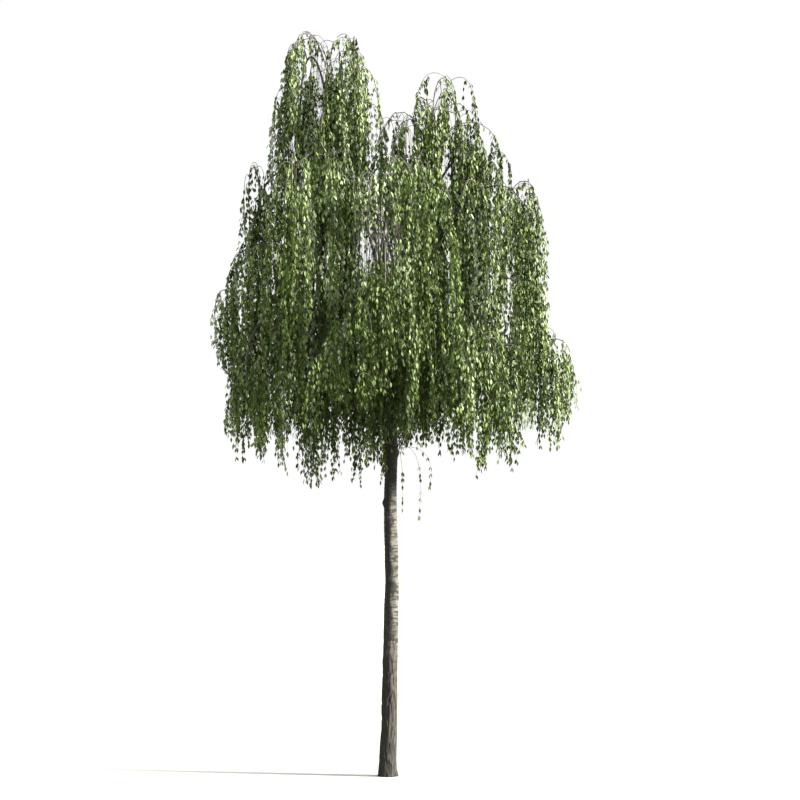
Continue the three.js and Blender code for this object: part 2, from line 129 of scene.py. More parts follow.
def layered_noise(pattern, finer):
    """A drifting pattern with a finer, weaker one on top"""
    return noise.noise(pattern) + finer.strength * noise.noise(pattern * finer.fineness)


def furrow_at(height, angle):
    """How deep in a furrow of the corky bark a place lies, from 0 to 1"""
    pattern = round_trunk(angle, height, FURROW_WIDTH, FURROW_LENGTH)
    branching = layered_noise(pattern, FINER_FURROWS)
    return float((1 - smoothstep(*FURROW_EDGE, abs(branching))) * (1 - smoothstep(*CORKY_HEIGHTS, height)))


def pore_at(height, angle):
    """How much of a pore's level scar lies at a place, from 0 to 1"""
    pattern = round_trunk(angle, height, PORE_WIDTH, PORE_HEIGHT)
    above_cork = smoothstep(*CORKY_HEIGHTS, height + PORE_OVERLAP)
    return float(smoothstep(*PORE_EDGE, noise.noise(pattern)) * above_cork)


def painted_shade_at(height, angle):
    """How much painted shade darkens the bark at a place, from 0 to 1: on its side away from the low lamp,
    and all round under the crown as a painted shadow of the crown
    """
    pattern = round_trunk(angle, height, PAINTED_SHADE_WIDTH, PAINTED_SHADE_LENGTH)
    across = math.cos(angle) + PAINTED_SHADE_WAVE * layered_noise(pattern, FINER_PAINTED_SHADE)
    return float(max(1 - smoothstep(*PAINTED_SHADE_EDGE, across), smoothstep(*PAINTED_CROWN_SHADOW, height)))


def knot_at(height, angle):
    """How far the knots stand out at a place"""
    total = 0.0
    for knot_height, heading, size, relief in KNOTS:
        turn = math.remainder(angle - math.radians(heading), 2 * math.pi)
        apart = math.hypot(turn * TRUNK_DIAMETER / 2, height - knot_height) / size
        total += relief * math.exp(-apart * apart)
    return total


def wrap_limb(bm, sides, rings, place_at):
    """Wraps a grid into a closed limb, with each vertex where place_at(vertex, ring, angle) says"""
    made = bmesh.ops.create_grid(bm, x_segments=sides, y_segments=rings, size=1)["verts"]
    for vertex in made:
        ring = round((vertex.co.y + 1) / 2 * rings)
        angle = math.pi * (vertex.co.x + 1)
        vertex.co = Vector(place_at(vertex, ring, angle))
    rim = [vertex for vertex in made if vertex.is_boundary]
    bmesh.ops.remove_doubles(bm, verts=rim, dist=1e-6)
    ends = [vertex for vertex in rim if vertex.is_valid]
    open_edges = {edge for vertex in ends for edge in vertex.link_edges if edge.is_boundary}
    bmesh.ops.holes_fill(bm, edges=list(open_edges), sides=sides)


def piece_from(bm, name, material):
    """Turns a bmesh into a smooth piece of the tree"""
    bmesh.ops.recalc_face_normals(bm, faces=bm.faces)
    mesh = bpy.data.meshes.new(name)
    bm.to_mesh(mesh)
    bm.free()
    mesh.polygons.foreach_set("use_smooth", [True] * len(mesh.polygons))
    mesh.materials.append(material)
    piece = bpy.data.objects.new(name, mesh)
    bpy.context.scene.collection.objects.link(piece)
    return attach(piece, "root")


def linear(hex_colour):
    """An sRGB hex colour as linear red, green, blue and alpha"""
    parts = [int(hex_colour[i:i + 2], 16) / 255 for i in (1, 3, 5)]
    return [part / 12.92 if part <= 0.04045 else ((part + 0.055) / 1.055) ** 2.4 for part in parts] + [1.0]


def add_node(tree, kind, output, inputs, **settings):
    """Adds a node with its settings, gives its inputs values or links, and returns one of its outputs"""
    node = tree.nodes.new(kind)
    for name, value in settings.items():
        setattr(node, name, value)
    feed(tree, node, inputs)
    return next(socket for socket in node.outputs if socket.identifier == output)


def feed(tree, node, inputs):
    """Gives a node's inputs values, or links them to the outputs of other nodes"""
    sockets = {socket.identifier: socket for socket in node.inputs}
    for name, value in inputs.items():
        if isinstance(value, bpy.types.NodeSocket):
            tree.links.new(value, sockets[name])
        else:
            sockets[name].default_value = value


def new_material(name):
    """A material, its node tree and its shader"""
    material = bpy.data.materials.new(name)
    material.use_nodes = True
    return material, material.node_tree, material.node_tree.nodes["Principled BSDF"]


# Silver birch bark is thin papery sheets, so it is pale and dull, dirtied grey in drifts, with dark pores.
# On the old foot it is brown cork, whose furrows are nearly black.
# Painted shade darkens the bark on the side away from the low lamp, and a painted shadow of the crown darkens
# its top.
PALE_BARK = "#52524c"
GREY_BARK = "#34332f"
CORK = "#312f29"
CORK_FURROW = "#141210"
PORE = "#211f1a"
# The colour of the painted shade and how far it darkens the bark
PAINTED_SHADE_COLOUR = "#1a1b17"
PAINTED_SHADE_STRENGTH = 0.9
DRIFT_SIZE = 0.16
DRIFT_EDGE = (0.42, 0.62)  # of the noise that the drifts follow
CORKINESS = 0.9  # at the foot
FIBRE_WIDTH = 0.006
FIBRE_LENGTH = 0.06
FIBRE_EDGE = (0.3, 0.7)
FIBRE_SHADE = (0.72, 1.12)
DULLNESS = (0.95, 0.7)  # the roughness between the fibres and on them

birch_bark, tree, shader = new_material("silver_birch_bark")
place = add_node(tree, "ShaderNodeTexCoord", "Object", {})
drift = add_node(tree, "ShaderNodeTexNoise", "Fac", {
    "Vector": place, "Scale": 1 / DRIFT_SIZE, "Detail": 5.0, "Roughness": 0.6,
})
drift_edge = add_node(tree, "ShaderNodeMapRange", "Result", {
    "Value": drift, "From Min": DRIFT_EDGE[0], "From Max": DRIFT_EDGE[1],
})
papery = add_node(tree, "ShaderNodeMix", "Result_Color", {
    "Factor_Float": drift_edge, "A_Color": linear(PALE_BARK), "B_Color": linear(GREY_BARK),
}, data_type="RGBA")
pore = add_node(tree, "ShaderNodeAttribute", "Fac", {}, attribute_name="pore")
pored = add_node(tree, "ShaderNodeMix", "Result_Color", {
    "Factor_Float": pore, "A_Color": papery, "B_Color": linear(PORE),
}, data_type="RGBA")
height = add_node(tree, "ShaderNodeSeparateXYZ", "Z", {"Vector": place})
corkiness = add_node(tree, "ShaderNodeMapRange", "Result", {
    "Value": height, "From Min": CORKY_HEIGHTS[0], "From Max": CORKY_HEIGHTS[1],
    "To Min": CORKINESS, "To Max": 0.0,
}, interpolation_type="SMOOTHSTEP")
corky = add_node(tree, "ShaderNodeMix", "Result_Color", {
    "Factor_Float": corkiness, "A_Color": pored, "B_Color": linear(CORK),
}, data_type="RGBA")
furrow = add_node(tree, "ShaderNodeAttribute", "Fac", {}, attribute_name="furrow")
furrowed = add_node(tree, "ShaderNodeMix", "Result_Color", {
    "Factor_Float": furrow, "A_Color": corky, "B_Color": linear(CORK_FURROW),
}, data_type="RGBA")
# Painted shade: the bark is darkened on its side away from the lamp and under the crown
painted_shade = add_node(tree, "ShaderNodeAttribute", "Fac", {}, attribute_name="painted_shade")
painted_shade_strength = add_node(tree, "ShaderNodeMapRange", "Result", {"Value": painted_shade, "To Max": PAINTED_SHADE_STRENGTH})
with_painted_shade = add_node(tree, "ShaderNodeMix", "Result_Color", {
    "Factor_Float": painted_shade_strength, "A_Color": furrowed, "B_Color": linear(PAINTED_SHADE_COLOUR),
}, data_type="RGBA")
fibre_place = add_node(tree, "ShaderNodeMapping", "Vector", {
    "Vector": place, "Scale": (1 / FIBRE_WIDTH, 1 / FIBRE_WIDTH, 1 / FIBRE_LENGTH),
})
fibres = add_node(tree, "ShaderNodeTexNoise", "Fac", {"Vector": fibre_place, "Scale": 1.0, "Detail": 3.0})
fibre_shade = add_node(tree, "ShaderNodeMapRange", "Result", {
    "Value": fibres, "From Min": FIBRE_EDGE[0], "From Max": FIBRE_EDGE[1],
    "To Min": FIBRE_SHADE[0], "To Max": FIBRE_SHADE[1],
})
shaded = add_node(tree, "ShaderNodeMix", "Result_Color", {
    "Factor_Float": 1.0, "A_Color": with_painted_shade, "B_Color": fibre_shade,
}, data_type="RGBA", blend_type="MULTIPLY")
grain = add_node(tree, "ShaderNodeBump", "Normal", {"Height": fibres, "Strength": 0.5, "Distance": 0.003})
dullness = add_node(tree, "ShaderNodeMapRange", "Result", {
    "Value": fibres, "To Min": DULLNESS[0], "To Max": DULLNESS[1],
})
feed(tree, shader, {"Base Color": shaded, "Roughness": dullness, "Normal": grain, "Specular IOR Level": 0.15})

trunk_rings = round(FORK_HEIGHT / TRUNK_RING_SPACING)
bm = bmesh.new()
furrow_layer = bm.verts.layers.float.new("furrow")
pore_layer = bm.verts.layers.float.new("pore")
# How much painted shade darkens the bark at each vertex
painted_shade_layer = bm.verts.layers.float.new("painted_shade")


def trunk_place(vertex, ring, angle):
    height = FORK_HEIGHT * ring / trunk_rings
    vertex[furrow_layer] = furrow_at(height, angle)
    vertex[pore_layer] = pore_at(height, angle)
    vertex[painted_shade_layer] = painted_shade_at(height, angle)
    swell = SWELL_RELIEF * noise.noise(round_trunk(angle, height, SWELL_WIDTH, SWELL_LENGTH))
    relief = swell + knot_at(height, angle) + PORE_RELIEF * vertex[pore_layer]
    radius = trunk_radius(height, angle) + relief - FURROW_DEPTH * vertex[furrow_layer]
    closing = max(0.0, 1 - (FORK_HEIGHT - height) / CLOSING_HEIGHT)
    radius *= math.sqrt(1 - TOP_CLOSING * closing * closing)
    return trunk_centre(height) + radius * np.array((math.cos(angle), math.sin(angle), 0))


wrap_limb(bm, TRUNK_SIDES, trunk_rings, trunk_place)
trunk = piece_from(bm, "trunk_bark", birch_bark)
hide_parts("trunk")

# Leaders: the upright limbs that the trunk forks into, tapering poles of younger wood that leave the fork
# aslant and soon stand up. Each grows out of the trunk, with a collar of bark swollen round its foot.
LEADERS = [  # tip in plan as shares of the radius, tip and foot as shares of the height, and foot's radius
    SimpleNamespace(name="left", x=-0.335, y=0.05, tip=0.945, foot=0.496, radius=0.056),
    SimpleNamespace(name="right", x=0.25, y=-0.06, tip=0.893, foot=0.496, radius=0.052),
    SimpleNamespace(name="back", x=0.1, y=0.37, tip=0.84, foot=0.48, radius=0.044),
    SimpleNamespace(name="front", x=-0.05, y=-0.36, tip=0.735, foot=0.462, radius=0.04),
]
LEADER_HANDLES = ((0.62, 0.2), (0.95, 0.62))  # in plan and in height
LEADER_TIP_RADIUS = 0.012
LEADER_SIDES = 20
LEADER_RINGS = 150
COLLAR_LENGTH = 0.12
COLLAR_SWELL = 0.35
LIMB_RELIEF = 0.06  # of its radius
LIMB_RIPPLE = 0.055  # the length of a ripple along a limb
RIPPLE_TURN = 0.8  # how far the ripples differ round it


def lerp(start, end, share):
    return start + (end - start) * share


def bezier(handles, shares):
    """Places at shares along the curve that three or four handles give"""
    shares = np.asarray(shares, float)[..., None]
    layer = list(handles)
    while len(layer) > 1:
        layer = [lerp(before, after, shares) for before, after in zip(layer, layer[1:])]
    return layer[0]


def leader_handles(leader):
    foot = trunk_centre(high(leader.foot))
    top = np.array((wide(leader.x), wide(leader.y), high(leader.tip)))
    between = [
        np.append(lerp(foot, top, plan)[:2], lerp(foot[2], top[2], rise)) for plan, rise in LEADER_HANDLES
    ]
    return [foot, *between, top]


def level_across(start, end):
    """The level direction across a curve that stands in one upright plane"""
    across = np.cross(end - start, (0, 0, 1))
    return across / np.linalg.norm(across)


def grow_limb(bm, handles, reach, radii, sides, rings):
    """Adds a tapering limb with a collar at its foot and rippled bark, along a curve up to a share of it"""
    points = bezier(handles, np.linspace(0, reach, rings + 1))
    ahead = np.gradient(points, axis=0)
    ahead /= np.linalg.norm(ahead, axis=1)[:, None]
    across = level_across(handles[0], handles[-1])
    side = across - (ahead @ across)[:, None] * ahead
    side /= np.linalg.norm(side, axis=1)[:, None]
    over = np.cross(side, ahead)
    run = np.linalg.norm(points - points[0], axis=1)

    def limb_place(vertex, ring, angle):
        plain = lerp(*radii, ring / rings) * (1 + COLLAR_SWELL * math.exp(-run[ring] / COLLAR_LENGTH))
        outward = math.cos(angle) * side[ring] + math.sin(angle) * over[ring]
        ripple = noise.noise(Vector(points[ring] / LIMB_RIPPLE + RIPPLE_TURN * outward))
        return points[ring] + plain * (1 + LIMB_RELIEF * ripple) * outward

    wrap_limb(bm, sides, rings, limb_place)


# Young birch bark is smooth and tight, grey-brown with a dull shine, ringed by paler pores.
YOUNG_BARK = "#22201e"
YOUNG_SHADE = "#141312"
YOUNG_PORE_WIDTH = 0.06
YOUNG_PORE_HEIGHT = 0.012
YOUNG_PORE_EDGE = (0.38, 0.62)  # of the noise that the pores follow

young_bark, tree, shader = new_material("young_birch_bark")
place = add_node(tree, "ShaderNodeTexCoord", "Object", {})
ringed_place = add_node(tree, "ShaderNodeMapping", "Vector", {
    "Vector": place, "Scale": (1 / YOUNG_PORE_WIDTH, 1 / YOUNG_PORE_WIDTH, 1 / YOUNG_PORE_HEIGHT),
})
rings = add_node(tree, "ShaderNodeTexNoise", "Fac", {"Vector": ringed_place, "Scale": 1.0, "Detail": 4.0})
ring_edge = add_node(tree, "ShaderNodeMapRange", "Result", {
    "Value": rings, "From Min": YOUNG_PORE_EDGE[0], "From Max": YOUNG_PORE_EDGE[1],
})
ringed = add_node(tree, "ShaderNodeMix", "Result_Color", {
    "Factor_Float": ring_edge, "A_Color": linear(YOUNG_SHADE), "B_Color": linear(YOUNG_BARK),
}, data_type="RGBA")
bumps = add_node(tree, "ShaderNodeBump", "Normal", {"Height": rings, "Strength": 0.4, "Distance": 0.002})
feed(tree, shader, {"Base Color": ringed, "Roughness": 0.7, "Normal": bumps, "Specular IOR Level": 0.35})

bm = bmesh.new()
for leader in LEADERS:
    leader.handles = leader_handles(leader)
    radii = (leader.radius, LEADER_TIP_RADIUS)
    grow_limb(bm, leader.handles, 1, radii, LEADER_SIDES, LEADER_RINGS)
leaders = piece_from(bm, "leader_bark", young_bark)
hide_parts(*[f"{leader.name}_leader" for leader in LEADERS])

# Boughs: the arching limbs of the crown, in tiers from the trunk and the leaders. Each is a slim tapering
# limb that springs up and out and ends in its mass of hanging foliage; their bark is the leaders'.
TOPS = [  # heading in degrees, reach as a share of the radius, rise and foot as shares of the height
    SimpleNamespace(leader="left", heading=176, reach=0.215, rise=0.05, foot=0.805),
    SimpleNamespace(leader="right", heading=8, reach=0.12, rise=0.0425, foot=0.775),
    SimpleNamespace(leader="back", heading=102, reach=0.173, rise=0.06, foot=0.715),
    SimpleNamespace(leader="front", heading=255, reach=0.177, rise=0.056, foot=0.615),
]
TOP_SIZE = 0.9
# What carries each tier, its count of boughs, its first heading and its boughs' radius at the foot; then, as
# shares of the crown's radius or the tree's height, the shift of its middle, its reach, apex, foot and root
TIERS = [
    ("inner", "trunk", 3, 188, 0.024, 0, 0.48, 0.57, 0.42, 0.446),
    ("skirt", "trunk", 7, -4, 0.03, 0.035, 0.83, 0.6, 0.42, 0.462),
    ("middle", "nearest", 5, 203, 0.022, -0.04, 0.78, 0.69, 0.5, 0.555),
    ("shoulder", "nearest", 7, 178, 0.024, 0.03, 0.75, 0.795, 0.58, 0.635),
    ("left_tower", "left", 2, 165, 0.018, 0, 0.16, 0.975, 0.75, 0.84),
    ("right_tower", "right", 1, 12, 0.018, 0, 0.27, 0.84, 0.68, 0.74),
]
STAGGER = high(0.017)
STAGGER_STEPS = 3
APEX_STAGGER = high(0.0085)
REACH_CHANCE = 0.1
FOOT_CHANCE = high(0.05)
CROWN_TILT = high(0.022)  # how much higher the arches on the left stand
HEADING_CHANCE = 12
LEADER_PACES = 2000
BOUGH_TIP_RADIUS = 0.011
BOUGH_SHARE = 0.4
ARCH_PACES = 200
NEAR_HANDLE = 0.33
FAR_HANDLE = 1.35
END_WEIGHT = 1 / 8
HANDLE_WEIGHT = 3 / 8
SPRIG = SimpleNamespace(heading=-6, root=0.43, reach=0.23, rise=0.004, foot=0.378, size=0.42)
SPRAY_HANG = 0.6  # a stem ends this far over the height that its leaves hang to
SPACE_SCALE = np.array((1, 1, 0.6))
ENTRY_ROOM = 0.06
TOP_MIDDLE = 0.35
TOP_MIDDLE_RISE = 1 / 3
BOUGH_MIDDLE = 0.84
SPRIG_MIDDLE = 0.7
BOUGH_SIDES = 12
BOUGH_RINGS = 60


def chance(seed):
    """Repeatable numbers from 0 to 1, each from the one before it by a product and its remainder"""
    first, factor, modulus = 7919, 16807, 2147483647
    state = first * (seed + 1)
    while True:
        state = state * factor % modulus
        yield state / modulus


def heading_vector(degrees):
    return np.array((math.cos(math.radians(degrees)), math.sin(math.radians(degrees)), 0))


def at_height(point, height):
    return np.append(point[:2], height)


def leader_point(leader, height):
    """The place on a leader at a height"""
    shares = np.linspace(0, 1, LEADER_PACES)
    return bezier(leader.handles, np.interp(height, bezier(leader.handles, shares)[:, 2], shares))


def arch(root, end, apex):
    """An arch from a root over an apex to an end that hangs"""
    handle_height = (apex - END_WEIGHT * (root[2] + end[2])) / (2 * HANDLE_WEIGHT)
    near = at_height(lerp(root, end, NEAR_HANDLE), handle_height)
    far = at_height(lerp(root, end, FAR_HANDLE), handle_height)
    return [root, near, far, end]


def plan_top(top):
    leader = next(each for each in LEADERS if each.name == top.leader)
    root = leader.handles[-1]
    end = at_height(root + wide(top.reach) * heading_vector(top.heading), high(top.foot) + SPRAY_HANG)
    handles = arch(root, end, root[2] + high(top.rise))
    ahead = root - leader.handles[-2]
    handles[1] = root + ahead * (handles[1][2] - root[2]) / ahead[2]
    middle_height = (root[2] + high(top.foot)) / 2 + high(top.rise) * TOP_MIDDLE_RISE
    middle = at_height(lerp(root, end, TOP_MIDDLE), middle_height)
    return SimpleNamespace(
        name=f"{top.leader}_top", handles=handles, middle=middle, radius=0, size=TOP_SIZE, all_round=True,
    )


def plan_tier(seed, name, carrier, count, start, radius, middle, reach, apex, foot, root_share):
    draw = chance(seed)
    own = next((leader for leader in LEADERS if leader.name == carrier), None)
    axis = own.handles[-1] if own else trunk_centre(FORK_HEIGHT)
    axis = axis + (wide(middle), 0, 0)
    for i in range(count):
        heading = start + 360 * i / count + HEADING_CHANCE * (next(draw) - 0.5)
        run = wide(reach) * (1 + REACH_CHANCE * (next(draw) - 0.5))
        tilt = 0 if own else CROWN_TILT * math.cos(math.radians(heading))
        end_height = high(foot) + FOOT_CHANCE * (next(draw) - 0.5) + SPRAY_HANG + tilt
        end = at_height(axis + run * heading_vector(heading), end_height)
        root_height = high(root_share) + STAGGER * (i % STAGGER_STEPS)
        nearest = min(LEADERS, key=lambda leader: math.dist(leader.handles[-1][:2], end[:2]))
        on_trunk = carrier == "trunk"
        root = trunk_centre(root_height) if on_trunk else leader_point(own or nearest, root_height)
        handles = arch(root, end, high(apex) + APEX_STAGGER * (i % 2 - 0.5) - tilt)
        heart = at_height(lerp(root, end, BOUGH_MIDDLE), high((apex + foot) / 2))
        yield SimpleNamespace(
            name=f"{name}_{i + 1}", handles=handles, middle=heart, radius=radius, size=1, all_round=False,
        )


def plan_sprig(sprig):
    root = trunk_centre(high(sprig.root))
    end = at_height(root + wide(sprig.reach) * heading_vector(sprig.heading), high(sprig.foot))
    handles = arch(root, end, high(sprig.root + sprig.rise))
    middle = at_height(lerp(root, end, SPRIG_MIDDLE), high(sprig.foot))
    return SimpleNamespace(
        name="trunk_sprig", handles=handles, middle=middle, radius=0, size=sprig.size, all_round=False,
    )


plans = [plan_top(top) for top in TOPS]
for seed, tier in enumerate(TIERS):
    plans.extend(plan_tier(seed, *tier))
plans.append(plan_sprig(SPRIG))


def room_at(points, plan):
    """How far inside the space of its mass each point lies, from the nearest of its planes"""
    own = plan.middle * SPACE_SCALE
    others = np.array([other.middle for other in plans if other is not plan]) * SPACE_SCALE
    apart = others - own
    half = (own + others) / 2 - (points * SPACE_SCALE)[:, None]
    return ((half * apart).sum(-1) / np.linalg.norm(apart, axis=1)).min(1)


bm = bmesh.new()
for plan in plans:
    plan.start = 0
    if plan.radius:
        paces = np.arange(round(BOUGH_SHARE * ARCH_PACES), ARCH_PACES) / ARCH_PACES
        inside = room_at(bezier(plan.handles, paces), plan) > ENTRY_ROOM
        plan.start = paces[inside.argmax()]
        grow_limb(bm, plan.handles, plan.start, (plan.radius, BOUGH_TIP_RADIUS), BOUGH_SIDES, BOUGH_RINGS)
boughs = piece_from(bm, "bough_bark", young_bark)
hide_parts(*[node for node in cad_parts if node.endswith("_bough")])

# Twigs: a stem carries each bough on, and thin side stems arch out of the leaders and boughs between them.
# Twigs spring off every stem, bend over and hang like ropes. They are tough and whippy, and grow on from
# each other.
STEM_RADIUS = 0.009
STEM_TIP_RADIUS = 0.0025
STEM_POINTS = 30
TWIG_RADIUS = 0.0045
TWIG_TIP_RADIUS = 0.0015
TWIG_LIFT = 0.63
TWIG_SHORTENING = 0.35
TWIG_PACES = 24
LINE_POINTS = 200
TWIG_ROOM = 0.011  # a twig of the solids ends where it has less room than this in its mass's space
SHORTEST_TWIG = 0.3
ROOT_CHANCE = 0.06
# The twigs that the solids have too, finer ones between them, and those of the side stems: how many a stem
# has, from and to which share of it they spring, how far they turn off it in radians and how far they spread
TWIGS = SimpleNamespace(count=5, roots=(-0.01, 0.59), turn=(0.7, 1.9), spread=(0.29, 0.57))
FINE_TWIGS = SimpleNamespace(count=8, roots=(-0.7, 0.92), turn=(0.8, 2.9), spread=(0.1, 0.45))
SIDE_TWIGS = SimpleNamespace(count=4, roots=(0.15, 1.0), turn=(0.8, 2.9), spread=(0.1, 0.4))
SIDE_SIZE = 0.9
LEADER_STEMS = 8  # on each leader; reaches are shares of the radius, rises and falls of the height
LEADER_STEM_TURN = 2  # how far its stems are turned round, by where it stands across the crown
LEADER_STEM_ROOTS = (0.2, 0.94)
LEADER_STEM_REACH = (0.1, 0.3)
LEADER_STEM_RISE = 0.035
LEADER_STEM_FALL = (0.04, 0.14)
LOWEST_STEM_END = 0.52
BOUGH_STEMS = 2  # on each bough
BOUGH_STEM_ROOTS = (0.3, 0.75)
BOUGH_STEM_TURN = (30, 110)
BOUGH_STEM_REACH = (0.06, 0.2)
BOUGH_STEM_RISE = (0.005, 0.018)
BOUGH_STEM_END = (-0.01, 0.04)  # over the end of its bough
BOUGH_STEM_FALL = 0.12  # the most
CLEAR_ARCHES = [  # at the crown's edge: carrier, share along it, heading, reach, rise and fall
    ("left", 0.985, 10, 0.06, 0.06, 0.02),
    ("left", 0.985, 172, 0.19, 0.068, 0.03),
    ("left", 0.95, -12, 0.16, 0.032, 0.03),
    ("left", 0.8, -5, 0.28, 0.065, 0.04),
    ("right", 0.97, 170, 0.1, 0.03, 0.03),
    ("right", 0.98, 25, 0.13, 0.035, 0.03),
    ("right", 0.93, 5, 0.2, 0.04, 0.03),
    ("right", 0.88, 2, 0.36, 0.035, 0.07),
    ("right", 0.85, 178, 0.26, 0.065, 0.05),
    ("shoulder_1", 0.72, 176, 0.24, 0.05, 0.03),
    ("shoulder_4", 0.62, 10, 0.12, 0.012, 0.02),
    ("shoulder_5", 0.62, -5, 0.1, 0.012, 0.02),
    ("middle_1", 0.85, 186, 0.17, 0.004, 0.05),
    ("skirt_1", 0.66, 2, 0.24, 0.012, 0.04),
]
FILLING_ARCHES = [  # in front of bare limbs, in the same way
    ("left", 0.9, 180, 0.26, 0.03, 0.05),
    ("left", 0.88, 285, 0.13, 0.03, 0.05),
    ("left", 0.8, 245, 0.16, 0.03, 0.06),
    ("left", 0.74, 275, 0.2, 0.03, 0.06),
    ("left", 0.92, 88, 0.2, 0.04, 0.05),
    ("left", 0.85, 96, 0.3, 0.03, 0.07),
    ("left", 0.93, 268, 0.18, 0.035, 0.05),
    ("left", 0.83, 262, 0.32, 0.025, 0.07),
    ("right", 0.92, -25, 0.17, 0.03, 0.05),
    ("right", 0.85, -8, 0.28, 0.045, 0.05),
    ("right", 0.9, 185, 0.2, 0.03, 0.05),
    ("right", 0.93, 262, 0.2, 0.03, 0.05),
    ("right", 0.9, 92, 0.24, 0.03, 0.05),
    ("shoulder_2", 0.2, 262, 0.12, 0.03, 0.02),
    ("shoulder_2", 0.33, 255, 0.1, 0.02, 0.02),
    ("shoulder_3", 0.4, 255, 0.12, 0.02, 0.03),
]
BARE_SHARE = SimpleNamespace(clear=0.13, inner=0.05)  # of a rope, from its root
ROPE_HANG = (0.6, 3.4)  # how far a rope hangs on past its twig, as a share of a spray
ROPE_BEND = 0.16  # the length over which its end turns straight down
ROPE_LEAN = 0.05
ROPE_SWAY = 0.045
ROPE_POINTS = 22
ROPE_CROWDING = 1.5  # how much closer its points stand at its root, where it bends
ROPE_SIDES = 4
HEM_RAGGEDNESS = 0.25
TASSEL_SIZE = 0.22  # neighbouring ropes hang in tassels about this wide, with their ends at one height
TASSEL_EDGE = (-0.15, 0.1)
HOLLOW = SimpleNamespace(middle=-0.35, half_width=0.5, front=-0.7, rise=0.9)  # where the hem is drawn up
EDGE_SLACK = 0.03
HEM = np.array([  # from left to right: the lowest that ropes hang to, and the length of the tassels
    (-2.3, 4.3, 0.25), (-2.05, 4.15, 0.35), (-1.65, 4.1, 0.4), (-1.3, 3.8, 0.6), (-0.8, 3.75, 0.65),
    (-0.05, 3.85, 0.65), (0.12, 4.35, 0.3), (0.7, 4.25, 0.4), (1.15, 3.95, 0.5), (1.6, 4.0, 0.5),
    (1.8, 4.25, 0.3), (2.35, 4.35, 0.25), (2.6, 4.8, 0.2),
])
EDGE = np.array([  # how far left and right ropes hang, from the hem up
    (4.2, -2.1, 2.2), (4.6, -2.24, 2.4), (5.3, -2.1, 2.52), (5.6, -2.3, 2.5), (5.95, -2.36, 2.2),
    (6.2, -2.32, 2.1), (6.4, -2.2, 2.05), (6.8, -2.06, 2.06), (7.4, -2.14, 2.22), (7.7, -2.04, 1.98),
    (8.0, -1.95, 1.7), (8.25, -1.85, 1.6), (8.45, -1.62, 1.6), (8.8, -1.56, 1.4), (9.2, -1.53, 1.18),
    (9.42, -1.46, 1.05), (9.5, -1.44, -0.25), (10.0, -1.3, -0.5),
])
GAPS = np.array([  # where the sky shows through: middle across and up, half width and height, and openness
    (-0.12, 7.0, 0.4, 0.42, 0.88), (-0.93, 9.55, 0.13, 0.24, 0.95), (-0.73, 9.65, 0.07, 0.2, 0.95),
    (0.3, 8.64, 0.07, 0.35, 0.95), (0.79, 8.17, 0.09, 0.3, 0.95), (-0.93, 8.96, 0.06, 0.3, 0.95),
    (-1.3, 8.43, 0.05, 0.24, 0.95), (-1.16, 7.88, 0.05, 0.28, 0.95), (0.63, 9.02, 0.09, 0.2, 0.95),
    (0.88, 8.8, 0.06, 0.22, 0.95),
])
GOLDEN_TURN = math.pi * (3 - math.sqrt(5))
UP = np.array((0, 0, 1.0))
OBLIQUE = (0.83, 0.53, 0.17)  # a direction that no rope or shoot follows

rng = np.random.default_rng(seed=11)


def edge_at(heights):
    """How far left and right the crown reaches at some heights"""
    return [np.interp(heights, EDGE[:, 0], side) for side in EDGE[:, 1:].T]


def side_stem(root, heading, reach, end_height, rise):
    """A thin arching limb between the boughs"""
    end = at_height(root + wide(reach) * heading_vector(heading), end_height)
    end[0] = np.clip(end[0], *edge_at(end_height))
    handles = arch(root, end, max(root[2], end_height) + high(rise))
    return SimpleNamespace(handles=handles, start=0, size=SIDE_SIZE, all_round=False)


def heading_of(handles):
    ahead = handles[-1] - handles[0]
    return math.atan2(ahead[1], ahead[0])


side_stems = []
for leader in LEADERS:
    for index in range(LEADER_STEMS):
        root = bezier(leader.handles, lerp(*LEADER_STEM_ROOTS, (index + rng.uniform()) / LEADER_STEMS))
        heading = math.degrees(GOLDEN_TURN * index + LEADER_STEM_TURN * leader.x)
        end_height = max(root[2] - high(rng.uniform(*LEADER_STEM_FALL)), high(LOWEST_STEM_END))
        reach = rng.uniform(*LEADER_STEM_REACH)
        side_stems.append(side_stem(root, heading, reach, end_height, LEADER_STEM_RISE))
boughs_planned = [plan for plan in plans if plan.radius]
for number, plan in enumerate(boughs_planned):
    for index in range(BOUGH_STEMS):
        root = bezier(plan.handles, lerp(*BOUGH_STEM_ROOTS, (index + rng.uniform()) / BOUGH_STEMS))
        side = 1 if (index + number) % 2 else -1
        heading = math.degrees(heading_of(plan.handles)) + side * rng.uniform(*BOUGH_STEM_TURN)
        end_height = plan.handles[-1][2] + high(rng.uniform(*BOUGH_STEM_END))
        end_height = max(end_height, root[2] - high(BOUGH_STEM_FALL))
        reach = rng.uniform(*BOUGH_STEM_REACH)
        side_stems.append(side_stem(root, heading, reach, end_height, rng.uniform(*BOUGH_STEM_RISE)))
carriers = {carrier.name: carrier.handles for carrier in LEADERS + plans}
clear_stems = []
for arches, kept in ((CLEAR_ARCHES, clear_stems), (FILLING_ARCHES, side_stems)):
    for name, share, heading, reach, rise, fall in arches:
        root = bezier(carriers[name], share)
        kept.append(side_stem(root, heading, reach, root[2] - high(fall), rise))


def stem_line(plan):
    """Points all along a stem and the bough that carries it, drawn in to the crown's edge past the bough"""
    shares = np.linspace(0, 1, LINE_POINTS)
    points = bezier(plan.handles, shares)
    past = shares >= plan.start
    points[past] = drawn_in(points[past])
    return points


def stem_point(plan, share):
    """The place at a share along a stem, or on its bough for a share below 0"""
    place = lerp(plan.start, 1, share) * (LINE_POINTS - 1)
    numbers = np.arange(LINE_POINTS)
    return np.stack([np.interp(place, numbers, plan.line[:, axis]) for axis in range(3)], axis=-1)


